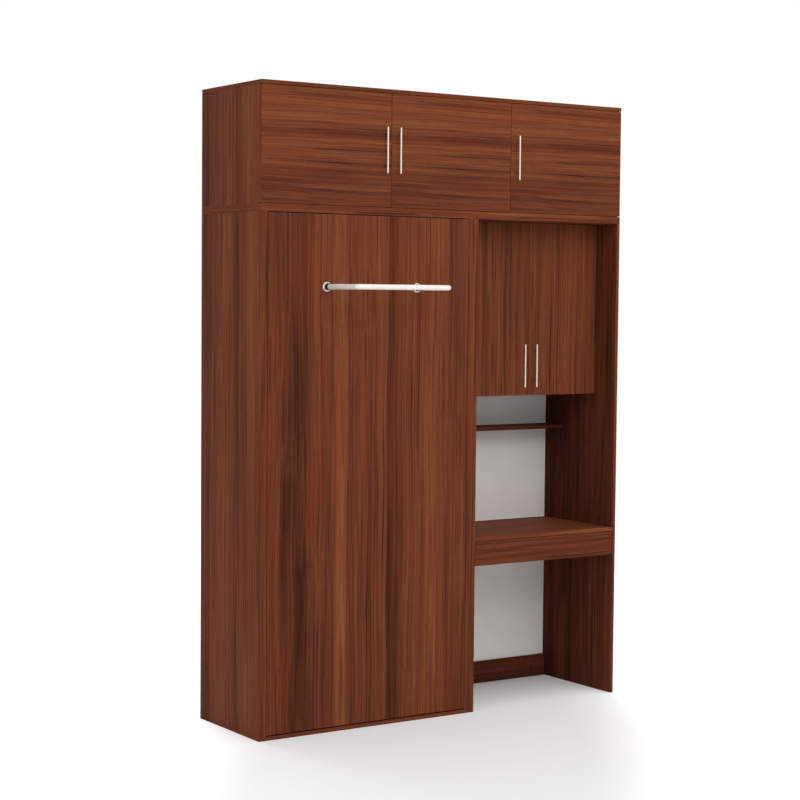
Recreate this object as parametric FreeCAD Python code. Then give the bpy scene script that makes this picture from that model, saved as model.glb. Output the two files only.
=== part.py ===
import FreeCAD, Part
import math
import os

from FreeCAD import Vector

# A wall bed in one piece of furniture, in millimetres. A single bed stands folded up behind
# a full-height front panel on the left. A desk unit with a drawer, a shelf and a recessed
# wall cabinet stands on the right. A three-door cabinet lies over both.
# The origin is on the floor, in the middle of the footprint. The front faces -Y, +Z is up.

# Boards and the gaps between them
board = 16.0
back_sheet = 3.0
carcass_depth = 496.0
total_width = 1830.0
edge_ease = 0.8
door_gap = 2.0
door_back_gap = 2.0

# The mattress sets the size of the bed, and the bed sets the size of its cabinet
mattress_width = 900.0
mattress_length = 2000.0
mattress_thickness = 179.5
mattress_edge_round = 30.0
mattress_side_gap = 2.5
mattress_end_gap = 15.5
soft_clearance = 0.5
mechanism_gap = 34.0
frame_floor_gap = 9.0
swing_room = 18.0
rail_depth = 200.0
bearer_thickness = 22.0
bearer_width = 25.0
slat_width = 70.0
slat_thickness = 10.0
slat_end_gap = 1.0
slat_count = 14

# Bed front panel, and the narrow stiles that close the gaps beside the bed frame
stile_depth = 18.0
panel_side_gap = 2.0
panel_floor_gap = 5.0
panel_top_gap = 3.0

# Straps that hold the mattress while the bed stands up
strap_width = 40.0
strap_thickness = 2.0
strap_rise = 24.0
strap_height_shares = (0.28, 0.72)

# Bed pivot: the front panel lies at this height when the bed is down
open_height = 250.0
pivot_inset = 30.0
pin_radius = 8.0
pin_end_gap = 0.5
running_clearance = 0.05
bush_wall = 2.4
boss_wall = 2.5
boss_length = 12.0
plate_thickness = 4.0
plate_front_inset = 20.0
plate_depth = 80.0
plate_margin = 32.0
plate_corner_round = 8.0

# Gas struts: both ends lie on one circle about the pivot, so a strut turns half as far as the bed
strut_circle_radius = 230.0
strut_cabinet_angle = 82.0
strut_bed_angle = -78.0
strut_inset = 17.0
strut_tube_radius = 9.0
strut_tube_wall = 1.5
strut_rod_radius = 4.0
strut_rod_clearance = 0.1
strut_piston_length = 12.0
strut_piston_clearance = 0.2
strut_eye_radius = 9.0
strut_eye_width = 14.0
strut_eye_reach = 12.0
strut_cap = 6.0
strut_stub = 20.0
strut_bottom_gap = 8.0
stud_radius = 4.0
stud_head_radius = 6.5
stud_head_thickness = 2.0
stud_side_gap = 0.3

# Leg of bent tube that is also the pull handle
leg_spacing = 437.0
leg_left_offset = 303.5
leg_height_on_panel = 1812.0
leg_tube_radius = 11.0
leg_tube_wall = 2.0
leg_bend_radius = 16.0
flange_rim = 6.0
flange_thickness = 4.0
flange_clearance = 0.2
collar_wall = 2.3
collar_length = 20.0
flange_screw_count = 3
flange_screw_angle = 90.0
screw_radius = 1.4
screw_head_radius = 2.4
screw_head_height = 1.2
screw_length = 12.0
screw_clearance = 0.1

# Top cabinet over both units
top_cabinet_height = 498.0
top_door_count = 3

# Desk unit
desk_height = 750.0
drawer_front_height = 104.0
drawer_front_gap = 2.0
niche_shelf_height = 1191.0
niche_shelf_depth = 137.0
wall_cabinet_height = 761.0
wall_cabinet_recess = 139.0
wall_cabinet_floor_lift = 2.0
wall_shelf_share = 0.5
shelf_side_gap = 1.0
floor_rail_height = 100.0

# Drawer box and its runners
drawer_board = 12.0
drawer_box_height = 80.0
drawer_box_lift = 12.0
drawer_box_length = 400.0
drawer_bottom_thickness = 4.0
drawer_bottom_lift = 8.0
runner_room = 12.7
runner_height = 35.0
runner_sheet = 1.2
runner_clearance = 0.4
runner_lift = 20.0
runner_front_gap = 2.0

# Concealed hinges
cup_radius = 17.5
cup_depth = 11.5
cup_centre_inset = 22.5
cup_wall = 0.8
cup_flange_radius = 20.0
cup_flange_thickness = 1.0
cup_seat_gap = 0.3
cup_wing_reach = 8.5
cup_wing_half_width = 9.0
hinge_clearance = 0.5
hinge_end_distance = 90.0
arm_width = 16.0
arm_height = 10.0
arm_length = 60.0
arm_bridge = 9.0
arm_nose_start = 18.5
arm_nose_width = 11.0
arm_plate_thickness = 3.0
arm_plate_width = 24.0
arm_plate_half_length = 25.0
arm_plate_place = 24.0

# Bar handles
handle_length = 188.0
handle_pitch = 128.0
handle_bar_radius = 3.0
handle_post_radius = 2.5
handle_standoff = 22.0
handle_edge_inset = 31.0
handle_end_round = 0.6
handle_low_gap = 37.0
handle_screw_radius = 1.5
handle_screw_head_radius = 3.5
handle_screw_head_height = 1.6

# Wall fixing rails and their holes
fixing_rail_height = 100.0
fixing_hole_radius = 4.5
bed_hole_inset = 102.5
desk_hole_inset = 80.5
overrun = 2.0

# Bolts that join the three units
bolt_radius = 3.9
bolt_clearance = 0.1
bolt_head_radius = 7.0
bolt_head_height = 2.5
bolt_front_inset = 60.0
bolt_back_inset = 60.0
bolt_second_inset = 190.0
side_bolt_height_shares = (0.08, 0.45, 0.90)
bed_bolt_width_shares = (0.24, 0.77)
desk_bolt_width_shares = (0.27, 0.73)

# Places that follow from the sizes above
left = -total_width / 2
right = total_width / 2
front = -(carcass_depth + back_sheet) / 2
rear = front + carcass_depth
wall = rear + back_sheet

frame_width = mattress_width + 2 * (mattress_side_gap + board)
frame_length = mattress_length + 2 * (mattress_end_gap + board)
bed_unit_width = frame_width + 2 * (mechanism_gap + board)
bed_left = left + board
bed_right = left + bed_unit_width - board
bed_middle = (bed_left + bed_right) / 2
units_split = left + bed_unit_width
frame_bottom = board + frame_floor_gap
frame_top = frame_bottom + frame_length
bed_room_top = frame_top + swing_room
flange_bore = leg_tube_radius + flange_clearance
collar_radius = flange_bore + collar_wall
flange_radius = collar_radius + flange_rim
flange_screw_circle = collar_radius + flange_rim / 2
leg_room_top = leg_height_on_panel + 2 * flange_radius + panel_top_gap
lower_inside_top = max(bed_room_top, leg_room_top)
lower_height = lower_inside_top + board
total_height = lower_height + top_cabinet_height

desk_left = units_split + board
desk_right = right - board
desk_middle = (desk_left + desk_right) / 2
desk_inside = desk_right - desk_left

bed_hole_spacing = bed_right - bed_left - 2 * bed_hole_inset
desk_hole_spacing = desk_inside - 2 * desk_hole_inset
cup_wing_half_length = cup_radius + cup_wing_reach

pivot_y = front + pivot_inset
pivot_z = open_height + pivot_inset

unit_x = Vector(1, 0, 0)
unit_y = Vector(0, 1, 0)
unit_z = Vector(0, 0, 1)


def block(x0, x1, y0, y1, z0, z1):
    """A square-edged solid between two corners, given in any order along X."""
    low, high = sorted((x0, x1))
    return Part.makeBox(high - low, y1 - y0, z1 - z0, Vector(low, y0, z0))


def cut_board(x0, x1, y0, y1, z0, z1):
    """A board whose edge banding is eased on every edge."""
    plain = block(x0, x1, y0, y1, z0, z1)
    return plain.makeFillet(edge_ease, plain.Edges)


def rod(start, end, radius):
    """A round bar from one point to another."""
    along = end - start
    return Part.makeCylinder(radius, along.Length, start, along)


def ring(start, end, outer, inner):
    """A round bar with a bore right through it."""
    return rod(start, end, outer).cut(rod(start, end, inner))


def mirror_in_bed(shape):
    """The same piece for the other side of the bed unit."""
    return shape.mirror(Vector(bed_middle, 0, 0), unit_x)


def save(name, *pieces):
    """Write one node, as one solid or as a group of separate ones."""
    shape = pieces[0] if len(pieces) == 1 else Part.makeCompound(list(pieces))
    shape.exportStep("parts/" + name + ".step")


def hole_along_y(x, z, radius, y0, y1):
    """The round cutter of a hole that runs front to back."""
    return rod(Vector(x, y0, z), Vector(x, y1, z), radius)


# Wall fixing holes, shared by the rails and the back sheets that they pass through
bed_hole_low = board + fixing_rail_height / 2
lower_hole_high = lower_inside_top - fixing_rail_height / 2
desk_hole_low = floor_rail_height / 2
top_hole_z = total_height - board - fixing_rail_height / 2
top_bay_pitch = total_width / top_door_count


def fixing_holes():
    """Cutters of every hole that takes a bolt into the wall."""
    places = []
    for side in (-1, 1):
        bed_x = bed_middle + side * bed_hole_spacing / 2
        desk_x = desk_middle + side * desk_hole_spacing / 2
        places.append((bed_x, bed_hole_low))
        places.append((bed_x, lower_hole_high))
        places.append((desk_x, desk_hole_low))
        places.append((desk_x, lower_hole_high))
        places.append((side * (total_width - top_bay_pitch) / 2, top_hole_z))
    cutters = []
    for x, z in places:
        cutters.append(hole_along_y(x, z, fixing_hole_radius, rear - board - overrun, wall + overrun))
    return Part.makeCompound(cutters)


# Bolts that join the units: one solid each, with a flat head at both ends
def joining_bolts():
    """Start point, end point and cutter length of each joining bolt."""
    places = []
    rows = [front + bolt_front_inset, rear - bolt_back_inset]
    for share in side_bolt_height_shares:
        z = share * lower_height
        in_niche = z < lower_inside_top - wall_cabinet_height
        for y in rows if in_niche else rows[1:]:
            places.append((Vector(bed_right, y, z), Vector(desk_left, y, z)))
    across = [bed_left + share * (bed_right - bed_left) for share in bed_bolt_width_shares]
    across += [desk_left + share * desk_inside for share in desk_bolt_width_shares]
    for x in across:
        for y in (rear - bolt_back_inset, rear - bolt_second_inset):
            places.append((Vector(x, y, lower_inside_top), Vector(x, y, lower_height + board)))
    return places


def bolt_solid(start, end):
    """A sleeve bolt with its two low heads."""
    along = (end - start).normalize()
    shank = rod(start, end, bolt_radius)
    near = rod(start - along * bolt_head_height, start, bolt_head_radius)
    far = rod(end, end + along * bolt_head_height, bolt_head_radius)
    return shank.fuse([near, far]).removeSplitter()


bolt_places = joining_bolts()
bolt_cutters = Part.makeCompound(
    [rod(start, end, bolt_radius + bolt_clearance) for start, end in bolt_places]
)
fixing_cutters = fixing_holes()

# Bed unit: sides on the floor, a bottom board between them and a top board over them
save("bed_unit_left_side", cut_board(left, bed_left, front, rear, 0, lower_inside_top))
bed_right_board = cut_board(bed_right, units_split, front, rear, 0, lower_inside_top)
save("bed_unit_right_side", bed_right_board.cut(bolt_cutters))
bed_top = cut_board(left, units_split, front, rear, lower_inside_top, lower_height)
save("bed_unit_top_board", bed_top.cut(bolt_cutters))
save("bed_unit_bottom_board", cut_board(bed_left, bed_right, front, rear, 0, board))
left_stile = cut_board(bed_left, bed_left + board, front, front + stile_depth, board, lower_inside_top)
save("bed_unit_front_stiles", left_stile, mirror_in_bed(left_stile))
bed_back = block(left, units_split, rear, wall, 0, lower_height)
save("bed_unit_back_panel", bed_back.cut(fixing_cutters))

# Desk unit: two full-height sides, a top board over them and a white back sheet
desk_left_board = cut_board(units_split, desk_left, front, rear, 0, lower_inside_top)
save("desk_unit_left_side", desk_left_board.cut(bolt_cutters))
save("desk_unit_right_side", cut_board(desk_right, right, front, rear, 0, lower_inside_top))
desk_top = cut_board(units_split, right, front, rear, lower_inside_top, lower_height)
save("desk_unit_top_board", desk_top.cut(bolt_cutters))
desk_back = block(units_split, right, rear, wall, 0, lower_height)
save("desk_unit_back_panel", desk_back.cut(fixing_cutters))
save("desk_worktop", cut_board(desk_left, desk_right, front, rear, desk_height - board, desk_height))
niche_shelf_front = rear - niche_shelf_depth
save(
    "niche_shelf",
    cut_board(
        desk_left, desk_right, niche_shelf_front, rear,
        niche_shelf_height - board, niche_shelf_height,
    ),
)
floor_rail = cut_board(desk_left, desk_right, rear - board, rear, 0, floor_rail_height)
save("desk_floor_rail", floor_rail.cut(fixing_cutters))

# Recessed wall cabinet of the desk unit: its doors hang in front of the floor board's edge
wall_door_face = front + wall_cabinet_recess
wall_door_bottom = lower_inside_top - wall_cabinet_height
wall_door_top = lower_inside_top - door_gap
wall_inside_front = wall_door_face + board + door_back_gap
wall_floor_z = wall_door_bottom + wall_cabinet_floor_lift
save(
    "wall_cabinet_floor",
    cut_board(desk_left, desk_right, wall_inside_front, rear, wall_floor_z, wall_floor_z + board),
)
wall_shelf_z = wall_floor_z + wall_shelf_share * (lower_inside_top - wall_floor_z)
save(
    "wall_cabinet_shelf",
    cut_board(
        desk_left, desk_right, wall_inside_front + shelf_side_gap, rear - shelf_side_gap,
        wall_shelf_z, wall_shelf_z + board,
    ),
)

# Top cabinet: roof and floor run to the door faces, sides and partitions stop behind the doors
top_roof_z = total_height - board
top_floor_top = lower_height + board
top_inside_front = front + board + door_back_gap
top_floor = cut_board(left, right, front, rear, lower_height, top_floor_top)
save("top_cabinet_floor", top_floor.cut(bolt_cutters))
save("top_cabinet_roof", cut_board(left, right, front, rear, top_roof_z, total_height))
top_sides = []
for x0 in (left, right - board):
    top_sides.append(cut_board(x0, x0 + board, top_inside_front, rear, top_floor_top, top_roof_z))
save("top_cabinet_sides", *top_sides)
top_partitions = []
for number in range(1, top_door_count):
    x0 = left + number * top_bay_pitch - board / 2
    top_partitions.append(
        cut_board(x0, x0 + board, top_inside_front, rear, top_floor_top, top_roof_z)
    )
save("top_cabinet_partitions", *top_partitions)
top_back = block(left, right, rear, wall, lower_height, total_height)
save("top_cabinet_back_panel", top_back.cut(fixing_cutters))

# Fixing rails inside the units, against the back sheets
rail_front = rear - board
rails = [
    block(bed_left, bed_right, rail_front, rear, board, board + fixing_rail_height),
    block(bed_left, bed_right, rail_front, rear, lower_inside_top - fixing_rail_height, lower_inside_top),
    block(desk_left, desk_right, rail_front, rear, lower_inside_top - fixing_rail_height, lower_inside_top),
]
for number in range(top_door_count):
    x0 = left + number * top_bay_pitch + (board if number == 0 else board / 2)
    last = number == top_door_count - 1
    x1 = left + (number + 1) * top_bay_pitch - (board if last else board / 2)
    rails.append(block(x0, x1, rail_front, rear, top_roof_z - fixing_rail_height, top_roof_z))
save("wall_fixing_rails", *[rail.cut(fixing_cutters) for rail in rails])

save("unit_joining_bolts", *[bolt_solid(start, end) for start, end in bolt_places])

# Bed front panel and the leg's fixings in it
panel_left = bed_left + board + panel_side_gap
panel_right = bed_right - board - panel_side_gap
panel_back = front + board
leg_ends = [
    Vector(left + leg_left_offset + side * leg_spacing, front, leg_height_on_panel) for side in (0, 1)
]


def flange_screw_places(end):
    """Where the screws of one flange meet the front panel."""
    places = []
    for number in range(flange_screw_count):
        turn = math.radians(flange_screw_angle + number * 360 / flange_screw_count)
        arm = Vector(math.cos(turn), 0, math.sin(turn)) * flange_screw_circle
        places.append(end + arm)
    return places


screw_points = [place for end in leg_ends for place in flange_screw_places(end)]
panel = cut_board(
    panel_left, panel_right, front, panel_back,
    board + panel_floor_gap, lower_inside_top - panel_top_gap,
)
screw_holes = Part.makeCompound(
    [rod(place, place + unit_y * screw_length, screw_radius + screw_clearance) for place in screw_points]
)
save("bed_front_panel", panel.cut(screw_holes))

# Bed frame behind the front panel: two side rails with two end boards between them
frame_left = bed_left + mechanism_gap
frame_right = bed_right - mechanism_gap
rail_back = panel_back + rail_depth
left_rail = cut_board(frame_left, frame_left + board, panel_back, rail_back, frame_bottom, frame_top)
save("bed_side_rails", left_rail, mirror_in_bed(left_rail))
inner_left = frame_left + board
inner_right = frame_right - board
end_boards = []
for z0 in (frame_bottom, frame_top - board):
    end_boards.append(cut_board(inner_left, inner_right, panel_back, rail_back, z0, z0 + board))
save("bed_end_boards", *end_boards)

# Slats across the frame, on a bearer screwed along each side rail
inner_bottom = frame_bottom + board
inner_top = frame_top - board
bearer_back = panel_back + bearer_thickness
left_bearer = cut_board(
    inner_left, inner_left + bearer_width, panel_back, bearer_back, inner_bottom, inner_top
)
save("slat_bearers", left_bearer, mirror_in_bed(left_bearer))
slat_pitch = (inner_top - inner_bottom) / slat_count
slat_back = bearer_back + slat_thickness
slats = []
for number in range(slat_count):
    z0 = inner_bottom + (number + 0.5) * slat_pitch - slat_width / 2
    slats.append(
        cut_board(
            inner_left + slat_end_gap, inner_right - slat_end_gap,
            bearer_back, slat_back, z0, z0 + slat_width,
        )
    )
save("slats", *slats)

# Mattress, standing in the frame, and the two straps over it
mattress_front = slat_back + soft_clearance
mattress_back = mattress_front + mattress_thickness
mattress_left = inner_left + mattress_side_gap
mattress_bottom = inner_bottom + mattress_end_gap
plain_mattress = block(
    mattress_left, mattress_left + mattress_width, mattress_front, mattress_back,
    mattress_bottom, mattress_bottom + mattress_length,
)
save("mattress", plain_mattress.makeFillet(mattress_edge_round, plain_mattress.Edges))


def strap(z):
    """A flat strap fixed to both rails' edges, which climbs over the mattress."""
    start_y = rail_back + soft_clearance
    over_y = mattress_back + soft_clearance
    half = [
        Vector(frame_left, start_y, z),
        Vector(inner_left, start_y, z),
        Vector(inner_left + strap_rise, over_y, z),
    ]
    mirrored = [Vector(2 * bed_middle - p.x, p.y, z) for p in reversed(half)]
    lower = half + mirrored
    upper = [p + unit_y * strap_thickness for p in reversed(lower)]
    outline = Part.makePolygon(lower + upper + [lower[0]])
    return Part.Face(outline).extrude(unit_z * strap_width)


strap_starts = [
    mattress_bottom + share * mattress_length - strap_width / 2 for share in strap_height_shares
]
save("mattress_straps", *[strap(z) for z in strap_starts])


# Leg: one tube bent into a wide U, square to the front panel
def leg_path(ends, reach):
    """The centre line of the tube, from the panel out, across and back."""
    bend = leg_bend_radius
    out = Vector(0, -reach, 0)
    corner = [ends[0] + out, ends[1] + out]
    diagonal = bend * (1 - math.sqrt(0.5))
    pieces = [Part.LineSegment(ends[0], corner[0] + unit_y * bend)]
    first_mid = corner[0] + Vector(diagonal, diagonal, 0)
    pieces.append(Part.Arc(corner[0] + unit_y * bend, first_mid, corner[0] + unit_x * bend))
    pieces.append(Part.LineSegment(corner[0] + unit_x * bend, corner[1] - unit_x * bend))
    second_mid = corner[1] + Vector(-diagonal, diagonal, 0)
    pieces.append(Part.Arc(corner[1] - unit_x * bend, second_mid, corner[1] + unit_y * bend))
    pieces.append(Part.LineSegment(corner[1] + unit_y * bend, ends[1]))
    return Part.Wire([piece.toShape() for piece in pieces])


def tube_along(path, start, radius):
    """A round solid swept along the path."""
    circle = Part.Wire([Part.makeCircle(radius, start, unit_y)])
    return path.makePipeShell([circle], True, False)


leg_reach = open_height - leg_tube_radius
leg_line = leg_path(leg_ends, leg_reach)
leg_outer = tube_along(leg_line, leg_ends[0], leg_tube_radius)
leg_inner = tube_along(leg_line, leg_ends[0], leg_tube_radius - leg_tube_wall)
save("bed_leg_tube", leg_outer.cut(leg_inner))

flanges = []
screws = []
collars = []
for end in leg_ends:
    flange = ring(end, end - unit_y * flange_thickness, flange_radius, flange_bore)
    for place in flange_screw_places(end):
        seat = place - unit_y * flange_thickness
        flange = flange.cut(rod(place, seat, screw_radius + screw_clearance))
        shank = rod(seat, place + unit_y * (screw_length - screw_clearance), screw_radius)
        head = rod(seat, seat - unit_y * screw_head_height, screw_head_radius)
        screws.append(shank.fuse(head).removeSplitter())
    flanges.append(flange)
    collar_start = end - unit_y * flange_thickness
    collars.append(ring(collar_start, collar_start - unit_y * collar_length, collar_radius, flange_bore))
save("leg_flanges", *(flanges + screws))
save("leg_collars", *collars)


# Pivot and gas strut of the left side, in distances from the inner face of the cabinet side
def on_side(distance, y, z):
    """A point at a distance into the bed unit from its left side."""
    return Vector(bed_left + distance, y, z)


def on_circle(angle, distance):
    """A point on the circle that the strut ends share."""
    turn = math.radians(angle)
    y = pivot_y + strut_circle_radius * math.cos(turn)
    z = pivot_z + strut_circle_radius * math.sin(turn)
    return on_side(distance, y, z)


def side_plate(distance0, distance1, z0, z1):
    """A steel plate with round corners, flat on a side board or a bed rail."""
    y0 = front + plate_front_inset
    plate = block(bed_left + distance0, bed_left + distance1, y0, y0 + plate_depth, z0, z1)
    corners = [edge for edge in plate.Edges if abs(edge.tangentAt(edge.FirstParameter).x) > 0.5]
    return plate.makeFillet(plate_corner_round, corners)


def stud(angle, base, way):
    """A riveted stud for a strut eye, with a shoulder under the eye and a head over it."""
    eye_near = strut_inset - way * strut_eye_width / 2
    eye_far = strut_inset + way * strut_eye_width / 2
    shoulder_end = eye_near - way * stud_side_gap
    head_start = eye_far + way * stud_side_gap
    pieces = [
        rod(on_circle(angle, base), on_circle(angle, shoulder_end), stud_head_radius),
        rod(on_circle(angle, base), on_circle(angle, head_start), stud_radius),
        rod(
            on_circle(angle, head_start),
            on_circle(angle, head_start + way * stud_head_thickness), stud_head_radius,
        ),
    ]
    return pieces[0].fuse(pieces[1:])


pin_end = mechanism_gap - pin_end_gap
cabinet_plate = side_plate(
    0, plate_thickness, pivot_z - plate_margin, pivot_z + strut_circle_radius + plate_margin
)
pin = rod(on_side(0, pivot_y, pivot_z), on_side(pin_end, pivot_y, pivot_z), pin_radius)
cabinet_stud = stud(strut_cabinet_angle, plate_thickness, 1)
cabinet_plate = cabinet_plate.fuse([pin, cabinet_stud]).removeSplitter()
save("cabinet_mechanism_plates", cabinet_plate, mirror_in_bed(cabinet_plate))

bush_inner = pin_radius + running_clearance
bush_outer = bush_inner + bush_wall
boss_outer = bush_outer + boss_wall
plate_face = mechanism_gap - plate_thickness
boss_start = plate_face - boss_length
bed_plate = side_plate(
    plate_face, mechanism_gap, pivot_z - strut_circle_radius - plate_margin / 4, pivot_z + plate_margin
)
boss = rod(
    on_side(boss_start, pivot_y, pivot_z), on_side(plate_face, pivot_y, pivot_z), boss_outer
)
bed_stud = stud(strut_bed_angle, plate_face, -1)
bed_plate = bed_plate.fuse([boss, bed_stud]).removeSplitter()
bush_ends = (on_side(boss_start, pivot_y, pivot_z), on_side(mechanism_gap, pivot_y, pivot_z))
bed_plate = bed_plate.cut(rod(bush_ends[0], bush_ends[1], bush_outer))
bush = ring(bush_ends[0], bush_ends[1], bush_outer, bush_inner)
save(
    "bed_mechanism_plates",
    bed_plate, bush, mirror_in_bed(bed_plate), mirror_in_bed(bush),
)

# The strut at rest: a tube that hangs on the cabinet stud, and a rod that rises from the bed stud
strut_top = on_circle(strut_cabinet_angle, strut_inset)
strut_foot = on_circle(strut_bed_angle, strut_inset)
strut_way = (strut_foot - strut_top).normalize()
open_angle = math.radians(strut_cabinet_angle - strut_bed_angle - 90)
strut_short = 2 * strut_circle_radius * math.sin(open_angle / 2)
tube_end = strut_short - strut_stub
rod_reach = strut_short - strut_eye_reach - strut_cap - strut_bottom_gap


def strut_eye(centre):
    """The round eye at one end of a strut."""
    half = unit_x * strut_eye_width / 2
    return rod(centre - half, centre + half, strut_eye_radius)


def eye_bore(centre):
    """The cutter of the eye's bore, with running clearance on the stud."""
    half = unit_x * strut_eye_width
    return rod(centre - half, centre + half, stud_radius + running_clearance)


def from_top(distance):
    """A point down the strut from its upper eye."""
    return strut_top + strut_way * distance


def from_foot(distance):
    """A point up the strut from its lower eye."""
    return strut_foot - strut_way * distance


tube = rod(from_top(strut_eye_reach), from_top(tube_end), strut_tube_radius)
neck = rod(strut_top, from_top(strut_eye_reach), strut_rod_radius)
tube = tube.fuse([neck, strut_eye(strut_top)]).removeSplitter()
bore = rod(
    from_top(strut_eye_reach + strut_cap), from_top(tube_end - strut_cap),
    strut_tube_radius - strut_tube_wall,
)
mouth = rod(
    from_top(tube_end - strut_cap - overrun), from_top(tube_end + overrun),
    strut_rod_radius + strut_rod_clearance,
)
cylinder = tube.cut([bore, mouth, eye_bore(strut_top)])
save("left_strut_cylinder", cylinder)
save("right_strut_cylinder", mirror_in_bed(cylinder))

piston_radius = strut_tube_radius - strut_tube_wall - strut_piston_clearance
piston = rod(from_foot(rod_reach), from_foot(rod_reach - strut_piston_length), piston_radius)
stem = rod(strut_foot, from_foot(rod_reach), strut_rod_radius)
strut_rod = stem.fuse([piston, strut_eye(strut_foot)]).removeSplitter().cut(eye_bore(strut_foot))
save("left_strut_rod", strut_rod)
save("right_strut_rod", mirror_in_bed(strut_rod))

# Drawer: a front as wide as the legroom and a four-sided box behind it
drawer_top = desk_height - board - drawer_front_gap
drawer_bottom = drawer_top - drawer_front_height
save(
    "drawer_front",
    cut_board(
        desk_left + door_gap, desk_right - door_gap, front, front + board, drawer_bottom, drawer_top
    ),
)
box_left = desk_left + runner_room
box_right = desk_right - runner_room
box_front = front + board
box_rear = box_front + drawer_box_length
box_bottom = drawer_bottom + drawer_box_lift
box_top = box_bottom + drawer_box_height
drawer_sides = []
for x0 in (box_left, box_right - drawer_board):
    drawer_sides.append(block(x0, x0 + drawer_board, box_front, box_rear, box_bottom, box_top))
bottom_z = box_bottom + drawer_bottom_lift
save("drawer_box_sides", *drawer_sides)
drawer_ends = []
for y0 in (box_front, box_rear - drawer_board):
    drawer_ends.append(
        block(box_left + drawer_board, box_right - drawer_board, y0, y0 + drawer_board, box_bottom, box_top)
    )
save("drawer_box_ends", *drawer_ends)
save(
    "drawer_bottom",
    block(
        box_left + drawer_board, box_right - drawer_board, box_front + drawer_board,
        box_rear - drawer_board, bottom_z, bottom_z + drawer_bottom_thickness,
    ),
)

# Runners: a channel on each side board, and a slide on the drawer that runs inside it
runner_z = box_bottom + runner_lift
slide_room = runner_sheet + runner_clearance
channel = block(
    desk_left, desk_left + runner_room - runner_clearance, box_front + runner_front_gap, box_rear,
    runner_z, runner_z + runner_height,
)
channel = channel.cut(
    block(
        desk_left + runner_sheet, desk_left + runner_room, box_front - overrun, box_rear + overrun,
        runner_z + runner_sheet, runner_z + runner_height - runner_sheet,
    )
)
slide = block(
    desk_left + slide_room, box_left, box_front, box_rear,
    runner_z + slide_room, runner_z + runner_height - slide_room,
)


def mirror_in_desk(shape):
    """The same piece for the other side of the desk unit."""
    return shape.mirror(Vector(desk_middle, 0, 0), unit_x)


save("drawer_runner_channels", channel, mirror_in_desk(channel))
save("drawer_runner_slides", slide, mirror_in_desk(slide))


# Doors: each is worked out from its hinge edge, the way it runs from there and its face
def hinge_heights(z0, z1):
    """The heights of a door's two hinges."""
    return (z0 + hinge_end_distance, z1 - hinge_end_distance)


def hinge_arm(edge, way, face, wall_offset, z):
    """The part of a hinge that stays on the carcass: plate, arm and the nose in the cup."""

    def part(u0, u1, t0, t1, half):
        return block(edge + way * u0, edge + way * u1, face + t0, face + t1, z - half, z + half)

    start = board + cup_flange_thickness + hinge_clearance
    back = start + arm_length
    nose_end = arm_nose_start + arm_nose_width
    half = arm_width / 2
    arm = part(wall_offset, wall_offset + arm_height, start, back, half)
    bridge = part(wall_offset, nose_end, start, start + arm_bridge, half)
    nose_tip = board - cup_depth + cup_wall + cup_seat_gap
    nose = part(arm_nose_start, nose_end, nose_tip, start, half)
    plate_start = start + arm_plate_place
    plate = part(
        wall_offset, wall_offset + arm_plate_thickness, plate_start, plate_start + arm_plate_width,
        arm_plate_half_length,
    )
    return arm.fuse([bridge, nose, plate]).removeSplitter()


def hinge_cup(edge, way, face, z):
    """The pressed steel cup in the back of the door, with its flange and wings."""
    x = edge + way * cup_centre_inset
    inner = face + board
    floor = inner - cup_depth
    top = inner + cup_flange_thickness
    shell = hole_along_y(x, z, cup_radius, floor, inner)
    flange = hole_along_y(x, z, cup_flange_radius, inner, top)
    wings = block(
        x - cup_wing_half_width, x + cup_wing_half_width, inner, top,
        z - cup_wing_half_length, z + cup_wing_half_length,
    )
    solid = shell.fuse([flange, wings]).removeSplitter()
    return solid.cut(hole_along_y(x, z, cup_radius - cup_wall, floor + cup_wall, top + overrun))


def handle_set(x, face, z):
    """A bar on two posts, and the two screws that hold it through the door."""
    bar_y = face - handle_standoff
    half = unit_z * handle_length / 2
    centre = Vector(x, bar_y, z)
    bar = rod(centre - half, centre + half, handle_bar_radius)
    rims = [edge for edge in bar.Edges if edge.Closed and edge.Curve.TypeId == "Part::GeomCircle"]
    pieces = [bar.makeFillet(handle_end_round, rims)]
    for side in (-1, 1):
        height = z + side * handle_pitch / 2
        post = hole_along_y(x, height, handle_post_radius, bar_y, face)
        pieces.append(post.cut(bar))
        shank = hole_along_y(x, height, handle_screw_radius, face, face + board)
        head_top = face + board + handle_screw_head_height
        head = hole_along_y(x, height, handle_screw_head_radius, face + board, head_top)
        pieces.append(shank.fuse(head).removeSplitter())
    return pieces


hinge_arms = []


def make_door(name, edge, way, face, width, z0, z1, wall_offset, handle_z):
    """A door with its two hinge cups and its bar handle; the arms go to the carcass."""
    door = cut_board(edge, edge + way * width, face, face + board, z0, z1)
    handle_x = edge + way * (width - handle_edge_inset)
    cups = []
    for z in hinge_heights(z0, z1):
        x = edge + way * cup_centre_inset
        door = door.cut(hole_along_y(x, z, cup_radius, face + board - cup_depth, face + board + overrun))
        cups.append(hinge_cup(edge, way, face, z))
        hinge_arms.append(hinge_arm(edge, way, face, wall_offset, z))
    for side in (-1, 1):
        height = handle_z + side * handle_pitch / 2
        hole = hole_along_y(
            handle_x, height, handle_screw_radius + screw_clearance, face - overrun, face + board + overrun
        )
        door = door.cut(hole)
    save(name, door)
    save(name + "_handle", *handle_set(handle_x, face, handle_z))
    save(name + "_hinge_cups", *cups)


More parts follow.
